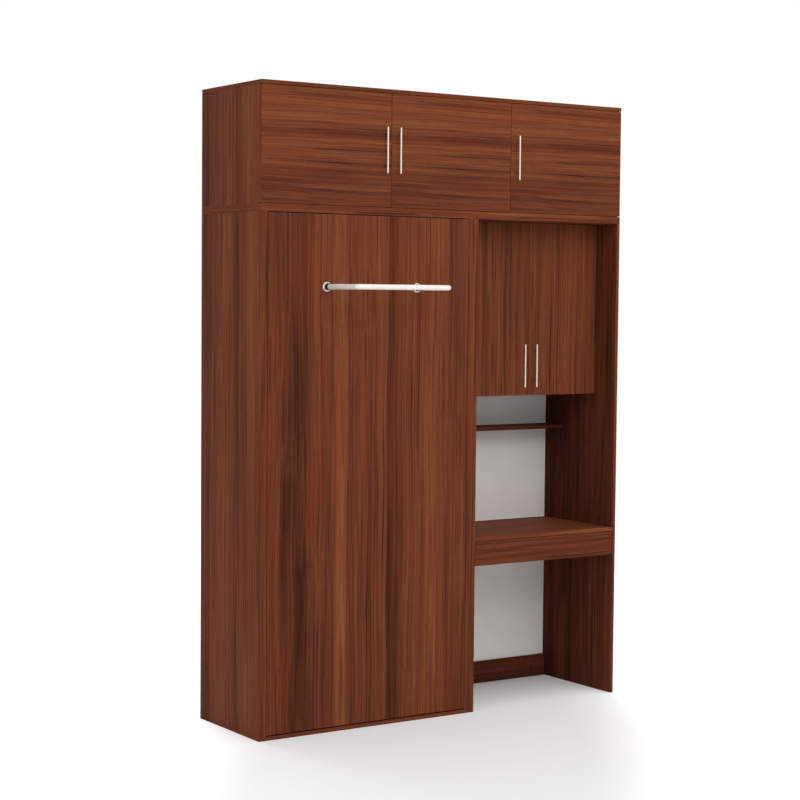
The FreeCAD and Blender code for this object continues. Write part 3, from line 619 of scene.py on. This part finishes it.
low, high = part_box("mattress")
middle = (low + high) / 2
inner_low, inner_high = low + Vector((swell,) * 3), high - Vector((swell,) * 3)
bm = bmesh.new()
rounded_block(bm, inner_low, inner_high, mattress_edge_round, 4)
mattress = bpy.data.objects.new("quilted_mattress", mesh_of(bm, "mattress_block"))
scene.collection.objects.link(mattress)
remesh = mattress.modifiers.new("voxels", "REMESH")
remesh.mode = "VOXEL"
remesh.voxel_size = voxel
apply_modifiers(mattress)


def seam_distance(place):
    """How far a point of the cover is from its nearest seam, along the surface."""
    if min(place.y - inner_low.y, inner_high.y - place.y) < mattress_edge_round / 2:
        x, z = place.x - middle.x, place.z - middle.z
        spans = [((x + side * z) / math.sqrt(2) / quilt_pitch) % 1 for side in (-1, 1)]
        return min(min(span, 1 - span) * quilt_pitch for span in spans)
    return min(abs(place.y - middle.y - line) for line in border_lines)


def on_edge(place):
    """True on the rounded edges, where the tape is sewn."""
    depths = [min(place[axis] - inner_low[axis], inner_high[axis] - place[axis]) for axis in range(3)]
    return sorted(depths)[1] < mattress_edge_round


start = [vert.co.copy() for vert in mattress.data.vertices]
held = mattress.vertex_groups.new(name="stitched")
sewn = [n for n, spot in enumerate(start) if on_edge(spot) or seam_distance(spot) < voxel / 2]
held.add(sewn, 1.0, "REPLACE")
cloth = mattress.modifiers.new("swelling", "CLOTH")
cloth.settings.use_pressure = True
cloth.settings.uniform_pressure_force = pressure
cloth.settings.vertex_group_mass = "stitched"
cloth.settings.effector_weights.gravity = 0
cloth.point_cache.frame_start = 1
cloth.point_cache.frame_end = last_frame
for number in range(1, last_frame + 1):
    scene.frame_set(number)
apply_modifiers(mattress)
mattress.vertex_groups.clear()
for vert, spot in zip(mattress.data.vertices, start):
    move = vert.co - spot
    vert.co = spot + move * min(1, swell / max(move.length, 1e-9))
scene.frame_set(1)
fine = mattress.modifiers.new("fine", "SUBSURF")
fine.levels = 1
apply_modifiers(mattress)
outwards = [vert.normal.copy() for vert in mattress.data.vertices]
for vert, outward in zip(mattress.data.vertices, outwards):
    reach = seam_distance(vert.co) / quilt_half_width
    if reach < 1 and not on_edge(vert.co):
        vert.co -= outward * quilt_depth * (1 - reach * reach) ** 2
mattress.data.polygons.foreach_set("use_smooth", [True] * len(mattress.data.polygons))

# Cotton ticking: off-white and dull, with a faint pile at its rims
ticking, tree, shader, coords = finish_material("quilted_cotton_ticking",
                                                {"Roughness": 0.85, "Sheen Weight": 0.25})
# The knit is far finer than this, and is drawn coarse enough to show
knits = []
for way in ((1, 0.35, 1), (1, -0.35, -1)):
    turn = add_node(tree, "ShaderNodeVectorMath",
                    {"operation": "DOT_PRODUCT", 1: Vector(way).normalized()},
                    {0: coords.outputs["Object"]})
    knits.append(add_node(tree, "ShaderNodeMath", {"operation": "PINGPONG", 1: knit_pitch / 2},
                          {0: turn.outputs["Value"]}))
knit = add_node(tree, "ShaderNodeMath", {"operation": "ADD"}, {0: knits[0], 1: knits[1]})
knit = add_node(tree, "ShaderNodeMath", {"operation": "MULTIPLY", 1: 1 / knit_pitch}, {0: knit})
cloud = add_node(tree, "ShaderNodeTexNoise", {"Scale": 1 / ticking_cloud_width, "Detail": 3},
                 {"Vector": coords.outputs["Object"]})
tone = add_node(tree, "ShaderNodeMix", {"Factor": 0.5}, {"A": knit, "B": cloud})
cover = add_node(tree, "ShaderNodeValToRGB",
                 {"stops": ((0.3, ticking_shade), (0.62, ticking_white))}, {"Fac": tone})
relief = add_node(tree, "ShaderNodeBump", {"Strength": 0.5, "Distance": knit_depth}, {"Height": knit})
feed(tree, shader, {"Base Color": cover, "Normal": relief})
mattress.data.materials.clear()
mattress.data.materials.append(ticking)
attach(mattress, "bed")
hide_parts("mattress")


def tube_round(bm, points, normal, radius, sides=10):
    """A closed tube along points that lie in a plane."""
    rings = []
    for number, point in enumerate(points):
        way = (points[(number + 1) % len(points)] - points[number - 1]).normalized()
        out = way.cross(normal)
        angles = [2 * math.pi * step / sides for step in range(sides)]
        spokes = [math.cos(a) * normal + math.sin(a) * out for a in angles]
        rings.append([bm.verts.new(point + radius * spoke) for spoke in spokes])
    for number, ring in enumerate(rings):
        before = rings[number - 1]
        for step in range(sides):
            after = (step + 1) % sides
            bm.faces.new((before[step], before[after], ring[after], ring[step]))


# The tape round both edges: grey woven cotton, rolled over the seam, coarse and dull
tape_grey = "#A9A49B"
tape_shade = "#8F8A82"
tape_radius = 5 * mm
tape_inset = 9 * mm
tape_bend = 26 * mm - tape_radius
tape_step = 40 * mm
tape_cloth = varied_finish("woven_edge_tape", tape_grey, tape_shade, 2.5 * mm, (0.8, 0.9), 0.3 * mm)
bm = bmesh.new()
bends = ((high.x, high.z, 0), (low.x, high.z, 90), (low.x, low.z, 180), (high.x, low.z, 270))
for y in (low.y + tape_inset, high.y - tape_inset):
    line = []
    for x, z, start_angle in bends:
        toward = Vector((math.copysign(1, middle.x - x), 0, math.copysign(1, middle.z - z)))
        centre = Vector((x, y, z)) + toward * (tape_inset + tape_bend)
        for angle in [math.radians(start_angle + 15 * step) for step in range(7)]:
            line.append(centre + tape_bend * Vector((math.cos(angle), 0, math.sin(angle))))
    dense = []
    for number, point in enumerate(line):
        span = line[(number + 1) % len(line)] - point
        count = max(1, round(span.length / tape_step))
        dense += [point + span * step / count for step in range(count)]
    tube_round(bm, dense, Vector((0, 1, 0)), tape_radius)
finished_piece("mattress_edge_tape", bm, tape_cloth, "bed", "mattress_ticking")


# Mattress straps
# Two belts of woven polypropylene webbing hold the mattress while the bed stands up. Each end is
# screwed to a side rail through a washer, and a side-release buckle of black plastic joins them.
webbing_black = "#2B2A2C"
webbing_rib_highlight_grey = "#454347"
strap_half_width = 20 * mm
strap_thickness = 1.8 * mm
cad_strap_thickness = 2 * mm
strap_steps = 120
strap_section = ((-1, 0.3), (-0.97, 0), (0.97, 0), (1, 0.3), (1, 0.7), (0.97, 1), (0.5, 1.06),
                 (0, 1), (-0.5, 1.06), (-0.97, 1), (-1, 0.7))
climb_early = 4 * mm
climb_length = 30 * mm
rib_pitch = 2.5 * mm
rib_depth = 0.4 * mm
slant_pitch = 6 * mm
thread_pale = "#5C5A5E"
thread_deep = "#4A484C"
stitch_pitch = 4.2 * mm
stitch_size = (2.8 * mm, 0.7 * mm, 0.7 * mm)
patch_distance = 62 * mm
patch_half_width = 13 * mm
fold_starts = 20 * mm
fold_ends = 82 * mm
fold_sunk = 0.2 * mm
buckle_grey = "#2A292A"
buckle_black = "#1D1C1D"
washer_inset = 7.5 * mm
washer_outline = ((2, 0), (6.5, 0), (6.5, 0.8), (6.1, 1.1), (2, 1.1))
# Bars of a buckle in millimetres: from and to along the belt, across it and above it, and rounding
buckle_bars = (
    (-4, 30, -25, -17, 0, 8, 2.2), (-14, 12, -15, -9, 1.5, 6.5, 1.8), (-4, 30, 17, 25, 0, 8, 2.2),
    (-14, 12, 9, 15, 1.5, 6.5, 1.8), (-4, 30, -18, 18, 6, 8.6, 1), (-4, 30, -18, 18, -0.4, 1.6, 0.8),
    (22, 30, -24, 24, 0, 8, 2.2), (-30, -22, -24, 24, 0, 7, 2.2), (-16, -10, -23, 23, 0, 7.6, 2.2),
    (-30, -10, -24, -18, 0, 7, 2.2), (-30, -10, 18, 24, 0, 7, 2.2),
)

# Woven webbing: black, with slanting ribs that catch a little light on their relief and sheen, and are
# painted paler grey along their crests as a highlight
webbing, tree, shader, coords = finish_material("woven_webbing",
                                                {"Roughness": 0.75, "Sheen Weight": 0.15})
parts = add_node(tree, "ShaderNodeSeparateXYZ", {}, {0: coords.outputs["Object"]})
slant = add_node(tree, "ShaderNodeMath", {"operation": "PINGPONG", 1: slant_pitch / 2},
                 {0: parts.outputs[along_z]})
slant = add_node(tree, "ShaderNodeMath", {"operation": "ADD"}, {0: slant, 1: parts.outputs[along_x]})
rib = add_node(tree, "ShaderNodeMath", {"operation": "PINGPONG", 1: rib_pitch / 2}, {0: slant})
rib = add_node(tree, "ShaderNodeMath", {"operation": "MULTIPLY", 1: 2 / rib_pitch}, {0: rib})
rib_highlight_weave = add_node(tree, "ShaderNodeValToRGB",
                 {"stops": ((0.15, webbing_black), (0.8, webbing_rib_highlight_grey))}, {"Fac": rib})
relief = add_node(tree, "ShaderNodeBump", {"Strength": 0.6, "Distance": rib_depth}, {"Height": rib})
feed(tree, shader, {"Base Color": rib_highlight_weave, "Normal": relief})
# Moulded plastic: black and satin, with the fine grain of the mould
buckle_plastic = varied_finish("moulded_black_plastic", buckle_grey, buckle_black, 1.5 * mm,
                               (0.42, 0.55), 0.05 * mm)
# Polyester thread: dull grey, so that the stitches show on the belt
thread = varied_finish("stitching_thread", thread_pale, thread_deep, 1 * mm, (0.7, 0.8), 0.1 * mm)

low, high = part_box("mattress_straps")
rail_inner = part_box("bed_end_boards")[0].x
rise_y = high.y - cad_strap_thickness - low.y
on_rail = low.y + strap_thickness
over = on_rail + rise_y
centre_x = (low.x + high.x) / 2
belts, stitches, buckles, washers = bmesh.new(), bmesh.new(), bmesh.new(), bmesh.new()
strap_screw = screw_head(3.6 * mm, 1.6 * mm)
washer = turned_part("washer", washer_outline, mm, closed=True)
for z in (low.z + strap_half_width, high.z - strap_half_width):
    rings = []
    for step in range(strap_steps + 1):
        x = low.x + (high.x - low.x) * step / strap_steps
        inward = min(x - low.x, high.x - x) - (rail_inner - low.x) + climb_early
        climb = min(1, max(0, inward / climb_length))
        y = low.y + rise_y * climb * climb * (3 - 2 * climb)
        rings.append([belts.verts.new((x, y + share * strap_thickness, z + wide * strap_half_width))
                      for wide, share in strap_section])
    for before, after in zip(rings, rings[1:]):
        for number in range(len(strap_section)):
            belts.faces.new((before[number - 1], before[number], after[number], after[number - 1]))
    belts.faces.new(rings[0])
    belts.faces.new(rings[-1])
    for side in (-1, 1):
        x = centre_x + side * (centre_x - low.x - washer_inset)
        stamp(washers, washer, (x, on_rail, z), (0, 1, 0))
        stamp(washers, strap_screw, (x, on_rail + 1 * mm, z), (0, 1, 0))
        # A square with a cross in it, sewn where the belt is turned back at the buckle
        patch = Vector((centre_x + side * patch_distance, over, z))
        corners = [patch + patch_half_width * Vector(way)
                   for way in ((-1, 0, -1), (1, 0, -1), (1, 0, 1), (-1, 0, 1))]
        runs = list(zip(corners, corners[1:] + corners[:1]))
        runs += [(corners[0], corners[2]), (corners[1], corners[3])]
        for start, end in runs:
            count = round((end - start).length / stitch_pitch)
            turn = (end - start).to_track_quat("X", "Z").to_matrix().to_4x4()
            for number in range(count):
                spot = start + (end - start) * (number + 0.5) / count
                matrix = Matrix.Translation(spot) @ turn @ Matrix.Diagonal((*stitch_size, 1))
                knot = bmesh.ops.create_cube(stitches, size=1)["verts"]
                bmesh.ops.transform(stitches, matrix=matrix, verts=knot)
        rounded_block(belts, (centre_x + side * fold_starts, over - fold_sunk, z - strap_half_width),
                      (centre_x + side * fold_ends, over, z + strap_half_width), 0.15 * mm, 1)
    for x0, x1, z0, z1, y0, y1, rounding in buckle_bars:
        rounded_block(buckles, (centre_x + x0 * mm, over + y0 * mm, z + z0 * mm),
                      (centre_x + x1 * mm, over + y1 * mm, z + z1 * mm), rounding * mm, 3)
finished_piece("strap_belts", belts, webbing, "bed", "strap_webbing", "mattress_straps")
finished_piece("strap_stitching", stitches, thread, "bed", "strap_webbing")
finished_piece("strap_buckles", buckles, buckle_plastic, "bed", "black_collar_plastic")
finished_piece("strap_washers_and_screws", washers, nickel, "bed", "nickel_hinge_steel")


# The leg that is also the handle
# Steel tube of 22 mm, bent cold to a wide U and lacquered pale: smooth, nearly white, with a soft
# shine. Each end stands in a turned flange on the front panel, with a black collar round it.
tube_pale = "#FDFAF6"
tube_shade = "#F8F4EF"
flange_radius = 19.5 * mm
flange_thickness = 4 * mm
flange_bore = 11.2 * mm
collar_radius = 13.5 * mm
collar_length = 20 * mm
collar_grey = "#262526"
collar_black = "#191819"
screw_circle = 16.5 * mm
screw_radius = 2.4 * mm
screw_height = 1.2 * mm

lacquered_tube = varied_finish("pale_lacquered_steel", tube_pale, tube_shade, 30 * mm, (0.22, 0.3),
                               0.05 * mm, {"Specular IOR Level": 0.6})
dress("bed_leg_tube", lacquered_tube)
# Collar plastic: black and satin, a little smoother than the buckles
collar_plastic = varied_finish("black_collar_plastic", collar_grey, collar_black, 2 * mm,
                               (0.4, 0.5), 0.05 * mm)

low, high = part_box("leg_flanges")
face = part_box("bed_front_panel")[0].y
leg_z = (low.z + high.z) / 2
leg_places = [Vector((x, face, leg_z)) for x in (low.x + flange_radius, high.x - flange_radius)]
flange = turned_part("flange", (
    (flange_bore, 0), (flange_radius, 0), (flange_radius, 0.62 * flange_thickness),
    (0.985 * flange_radius, 0.84 * flange_thickness), (0.95 * flange_radius, flange_thickness),
    (1.06 * flange_bore, flange_thickness), (flange_bore, 0.9 * flange_thickness),
), turns=64, closed=True)
collar = turned_part("collar", (
    (flange_bore, 0), (collar_radius, 0), (collar_radius, 0.92 * collar_length),
    (0.975 * collar_radius, 0.975 * collar_length), (0.92 * collar_radius, collar_length),
    (flange_bore, collar_length),
), turns=48, closed=True)
small_head = screw_head(screw_radius, screw_height)
flanges, collars, screws = bmesh.new(), bmesh.new(), bmesh.new()
outward = Vector((0, -1, 0))
for place in leg_places:
    stamp(flanges, flange, place, outward)
    stamp(collars, collar, place + outward * flange_thickness, outward)
    for number in range(3):
        angle = math.radians(90 + 120 * number)
        spot = place + screw_circle * Vector((math.cos(angle), 0, math.sin(angle)))
        stamp(screws, small_head, spot + outward * flange_thickness, outward)
finished_piece("leg_flange_rings", flanges, lacquered_tube, "bed", "satin_tube_steel", "leg_flanges")
finished_piece("leg_collar_rings", collars, collar_plastic, "bed", "black_collar_plastic", "leg_collars")
finished_piece("leg_flange_screws", screws, nickel, "bed", "satin_tube_steel")


# Pivot plates and gas struts
# Laser-cut steel plates, zinc plated: bluish grey with faint clouds. The bosses hold bushes of
# oiled bronze. The struts are black enamelled tubes with polished rods, hung on riveted studs.
pivot_y = -219.5 * mm
pivot_z = 280 * mm
bush_radius = 10.5 * mm
plate_thickness = 4 * mm
zinc_pale = "#C2C6CA"
zinc_deep = "#A3A8AD"
bronze_pale = "#B98F52"
bronze_deep = "#96703A"
enamel_pale = "#202022"
enamel_deep = "#151517"
rod_pale = "#E4E6E8"
rod_deep = "#D2D5D8"

zinc = varied_finish("zinc_plated_steel", zinc_pale, zinc_deep, 25 * mm, (0.3, 0.45), 0.03 * mm,
                     {"Metallic": 1.0})
bronze = varied_finish("oiled_bronze", bronze_pale, bronze_deep, 3 * mm, (0.35, 0.5), 0.03 * mm,
                       {"Metallic": 1.0})
enamel = varied_finish("black_strut_enamel", enamel_pale, enamel_deep, 6 * mm, (0.2, 0.3), 0.02 * mm,
                       {"Coat Weight": 0.4})
chrome = varied_finish("polished_strut_rod", rod_pale, rod_deep, 20 * mm, (0.06, 0.12), 0.01 * mm,
                       {"Metallic": 1.0})
dress("cabinet_mechanism_plates", zinc)
dress("bed_mechanism_plates", zinc)
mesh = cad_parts["bed_mechanism_plates"].data
mesh.materials.append(bronze)
for polygon in mesh.polygons:
    spots = [mesh.vertices[number].co for number in polygon.vertices]
    if all(math.hypot(spot.y - pivot_y, spot.z - pivot_z) < bush_radius for spot in spots):
        polygon.material_index = 1
for hand in ("left", "right"):
    dress(hand + "_strut_cylinder", enamel)
    dress(hand + "_strut_rod", chrome)
plate_screw = screw_head(4.2 * mm, 1.8 * mm)
plates_low, plates_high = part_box("cabinet_mechanism_plates")
rails_low, rails_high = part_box("bed_side_rails")
# The screws of each body's plates: faces that they stand on, and places on them in millimetres
plate_screws = {
    "cabinet": (((plates_low.x + plate_thickness, 1), (plates_high.x - plate_thickness, -1)),
                ((-165, 270), (-165, 340), (-165, 410), (-165, 480), (-214, 360), (-214, 440))),
    "bed": (((rails_low.x - plate_thickness, -1), (rails_high.x + plate_thickness, 1)),
            ((-165, 120), (-165, 190), (-165, 260), (-214, 90), (-214, 170))),
}
for body, (faces, spots) in plate_screws.items():
    bm = bmesh.new()
    for x, way in faces:
        for y, z in spots:
            stamp(bm, plate_screw, (x, y * mm, z * mm), (way, 0, 0))
    finished_piece(body + "_plate_screws", bm, zinc, body, "zinc_plated_steel")


# Drawer
# A box of 12 mm board faced white, with a white hardboard bottom, behind a walnut front. It hangs
# on two runners of pressed steel, zinc plated. The white faces are even and barely glossy.
board_pale = "#F3F1ED"
board_shade = "#E9E6E1"
bottom_pale = "#F1EEEA"
bottom_shade = "#E5E1DC"
board_white = varied_finish("white_faced_board", board_pale, board_shade, 50 * mm, (0.4, 0.5),
                            0.05 * mm, {"Specular IOR Level": 0.25})
for node in ("drawer_box_sides", "drawer_box_ends"):
    dress(node, board_white)
dress("drawer_bottom", varied_finish("white_drawer_hardboard", bottom_pale, bottom_shade, 70 * mm,
                                     (0.5, 0.6), 0.05 * mm))
for node in ("drawer_runner_channels", "drawer_runner_slides"):
    dress(node, zinc)


# Concealed hinges
# Two on each door, pressed from steel and nickel plated. The cup sits in a bored hole, with an ear
# and a screw above and below it. The arm is slotted onto a plate that is screwed to the carcass.
door_thickness = 16 * mm
hinge_end_distance = 90 * mm
cup_inset = 22.5 * mm
ear_distance = 19.5 * mm
cup_outline = ((17.4, -11.4), (17.4, 0), (20, 0), (20, 0.7), (19.6, 1), (17.2, 1), (16.7, 0.5),
               (16.7, -9.7), (15.6, -10.6))
ear_outline = ((6.5, 0), (6.5, 0.7), (6.1, 1))
cup = turned_part("hinge_cup", cup_outline, mm)
ear = turned_part("hinge_ear", ear_outline, mm)
ear_screw = screw_head(3.6 * mm, 1.1 * mm)
set_screw = screw_head(3 * mm, 0.9 * mm)
# The screws of an arm in millimetres: out from its board, behind the door's face, and above the
# hinge's middle
arm_screws = ((ear_screw, 2.9, 53.5, -19.5), (ear_screw, 2.9, 53.5, 19.5),
              (set_screw, 9.8, 44, 0), (set_screw, 9.8, 64, 0))
arms = bmesh.new()
# Each door, the way from its hinged edge to its middle, and how far in from that edge the board
# stands that carries its hinges, in millimetres
doors = (("top_left_door", 1, 15), ("top_middle_door", -1, 7), ("top_right_door", -1, 15),
         ("wall_left_door", 1, -2), ("wall_right_door", -1, -2))
for door, way, offset in doors:
    low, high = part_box(door)
    edge = low.x if way > 0 else high.x
    back = low.y + door_thickness
    # Parts of an arm in millimetres: from and to inward from the door's edge, behind its face and
    # about the hinge's height, and rounding
    arm_parts = (
        (offset + 2, offset + 10, 17.5, 77.5, -8, 8, 1.8), (offset, 29.5, 17.6, 26.5, -8, 8, 1.8),
        (18.5, 29.5, 5.8, 19, -8, -5, 1), (18.5, 29.5, 5.8, 19, 5, 8, 1),
        (20.5, 27.5, 6.5, 19, -3.5, 3.5, 1), (offset, offset + 3, 41.5, 65.5, -25, 25, 1),
        (offset, offset + 4, 36, 77, -9.5, 9.5, 1),
    )
    cups = bmesh.new()
    for z in (low.z + hinge_end_distance, high.z - hinge_end_distance):
        x = edge + way * cup_inset
        stamp(cups, cup, (x, back, z), (0, 1, 0))
        for side in (-1, 1):
            spot = z + side * ear_distance
            stamp(cups, ear, (x, back, spot), (0, 1, 0))
            stamp(cups, ear_screw, (x, back + 0.9 * mm, spot + side * 1.5 * mm), (0, 1, 0))
        for x0, x1, y0, y1, z0, z1, rounding in arm_parts:
            rounded_block(arms, (edge + way * x0 * mm, low.y + y0 * mm, z + z0 * mm),
                          (edge + way * x1 * mm, low.y + y1 * mm, z + z1 * mm), rounding * mm)
        for head, out, depth, height in arm_screws:
            spot = (edge + way * (offset + out) * mm, low.y + depth * mm, z + height * mm)
            stamp(arms, head, spot, (way, 0, 0))
    finished_piece(door + "_cups", cups, nickel, door, "nickel_hinge_steel", door + "_hinge_cups")
finished_piece("hinge_arms_and_plates", arms, nickel, "cabinet", "nickel_hinge_steel", "hinge_arms")


# Bar handles
# A 6 mm bar, brushed and lacquered pale like the leg, on two bright posts that mirror the door.
# Two screws come through the door into the posts; their pan heads show inside.
handle_pale = "#FFF6E8"
handle_shade = "#F8ECDC"
post_pale = "#C9C4BE"
post_deep = "#A9A39C"
bar_depth = 6 * mm
post_distance = 64 * mm
pan_radius = 3.7 * mm
pan_height = 2 * mm
brushed = varied_finish("brushed_pale_steel", handle_pale, handle_shade, 1.2 * mm, (0.3, 0.42),
                        0.03 * mm, stretch=(1, 1, 40))
bright = varied_finish("bright_drawn_steel", post_pale, post_deep, 2 * mm, (0.15, 0.25), 0.02 * mm,
                       {"Metallic": 1.0})
pan_head = screw_head(pan_radius, pan_height)
for door, way, offset in doors:
    node = door + "_handle"
    dress(node, brushed)
    low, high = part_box(node)
    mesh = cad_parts[node].data
    mesh.materials.append(bright)
    for polygon in mesh.polygons:
        if polygon.center.y > low.y + bar_depth:
            polygon.material_index = 1
    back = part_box(door)[0].y + door_thickness
    bm = bmesh.new()
    for side in (-1, 1):
        spot = Vector(((low.x + high.x) / 2, back, (low.z + high.z) / 2 + side * post_distance))
        stamp(bm, pan_head, spot, (0, 1, 0))
    finished_piece(door + "_handle_screws", bm, nickel, door, "satin_handle_steel")


# Shelf pins
# Four nickel-plated pins in the sides of the wall cabinet, with a collar, carry its loose shelf.
pin_outline = ((4, 0), (4, 0.8), (3.7, 1.1), (2.5, 1.1), (2.5, 7.4), (2.1, 8))
pin_inset = 45 * mm
pin_drop = 2.6 * mm
pin = turned_part("shelf_pin", pin_outline, mm, turns=24)
low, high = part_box("wall_cabinet_shelf")
bm = bmesh.new()
for x, way in ((desk_left, 1), (desk_right, -1)):
    for y in (low.y + pin_inset, high.y - pin_inset):
        stamp(bm, pin, (x, y, low.z - pin_drop), (way, 0, 0))
finished_piece("shelf_pins", bm, nickel, "cabinet", "nickel_hinge_steel")
